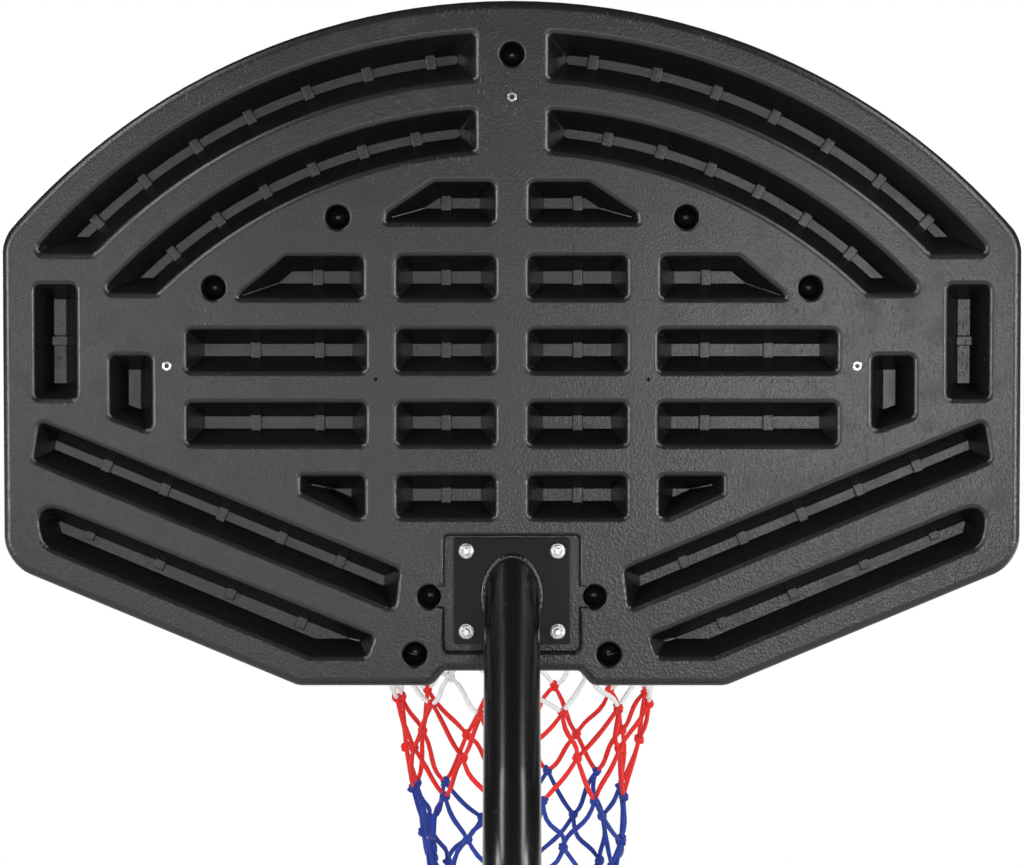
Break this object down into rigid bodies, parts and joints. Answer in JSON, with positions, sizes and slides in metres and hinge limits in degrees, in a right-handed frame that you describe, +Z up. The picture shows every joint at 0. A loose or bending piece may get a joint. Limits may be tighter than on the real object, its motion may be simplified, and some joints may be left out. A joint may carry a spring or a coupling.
{
  "type": "portable basketball hoop",
  "caption": "Portable basketball hoop: fan-shaped moulded backboard, ring with a net, telescoping bent pole, wheeled tank base.",
  "frame": {"origin": "on the floor at the base's underside, under the lower pole's axis", "axes": "+Z up along the lower pole, -Y towards the court and the ring, +X to the hoop's left as seen from behind looking to the court"},
  "size_m": [1.1, 1.5669, 2.897],
  "materials": {
    "black_plastic": "fine-grained satin",
    "black_steel": "gloss powder coat",
    "orange_steel": "gloss powder coat",
    "panel_white": "smooth",
    "net_cord": "braided cord in white, red and blue",
    "wheel_plastic": "moulded",
    "zinc": "bright zinc plate"
  },
  "bodies": {
    "base": {"base_tank": "black_plastic", "lower_pole": "black_steel", "guide_collar": "black_plastic", "clamp_nut": "zinc", "stay_left": "black_steel", "stay_right": "black_steel", "stay_bolt": "zinc", "stay_nut": "zinc", "stay_foot_bolt_left": "zinc", "stay_foot_bolt_right": "zinc", "axle": "zinc", "axle_cap_left": "zinc", "axle_cap_right": "zinc"},
    "head": {"top_pole": "black_steel", "weld_bead": "black_steel", "pole_plate": "black_steel", "backboard": "black_plastic", "front_panel": "panel_white", "rim_plate": "orange_steel", "rim_arm": "orange_steel", "rim_brace_left": "orange_steel", "rim_brace_right": "orange_steel", "rim_ring": "orange_steel", "net": "net_cord", "mount_bolt_1": "zinc", "mount_bolt_2": "zinc", "mount_bolt_3": "zinc", "mount_bolt_4": "zinc", "mount_washer_1": "zinc", "mount_washer_2": "zinc", "mount_washer_3": "zinc", "mount_washer_4": "zinc", "mount_nut_1": "zinc", "mount_nut_2": "zinc", "mount_nut_3": "zinc", "mount_nut_4": "zinc", "panel_screw_1": "zinc", "panel_screw_2": "zinc", "panel_screw_3": "zinc", "panel_nut_1": "zinc", "panel_nut_2": "zinc", "panel_nut_3": "zinc"},
    "clamp": {"clamp_screw": "zinc", "clamp_knob": "black_plastic"},
    "wheel_left": {"wheel_left": "wheel_plastic"},
    "wheel_right": {"wheel_right": "wheel_plastic"},
    "cap": {"fill_cap": "black_plastic"}
  },
  "joints": [
    {"name": "height_slide", "type": "slide", "parent": "base", "child": "head", "axis": [0, 0, 1], "range_m": [0, 0.76]},
    {"name": "clamp_turn", "type": "hinge", "parent": "base", "child": "clamp", "pos_m": [0, 0.065, 1.565], "axis": [0, 1, 0], "range_deg": [0, 360]},
    {"name": "wheel_left_spin", "type": "hinge", "parent": "base", "child": "wheel_left", "pos_m": [0.287, -0.23, 0.068], "axis": [1, 0, 0], "continuous": true},
    {"name": "wheel_right_spin", "type": "hinge", "parent": "base", "child": "wheel_right", "pos_m": [-0.287, -0.23, 0.068], "axis": [1, 0, 0], "continuous": true},
    {"name": "fill_cap_lift", "type": "slide", "parent": "base", "child": "cap", "axis": [0, 0, 1], "range_m": [0, 0.04]}
  ]
}
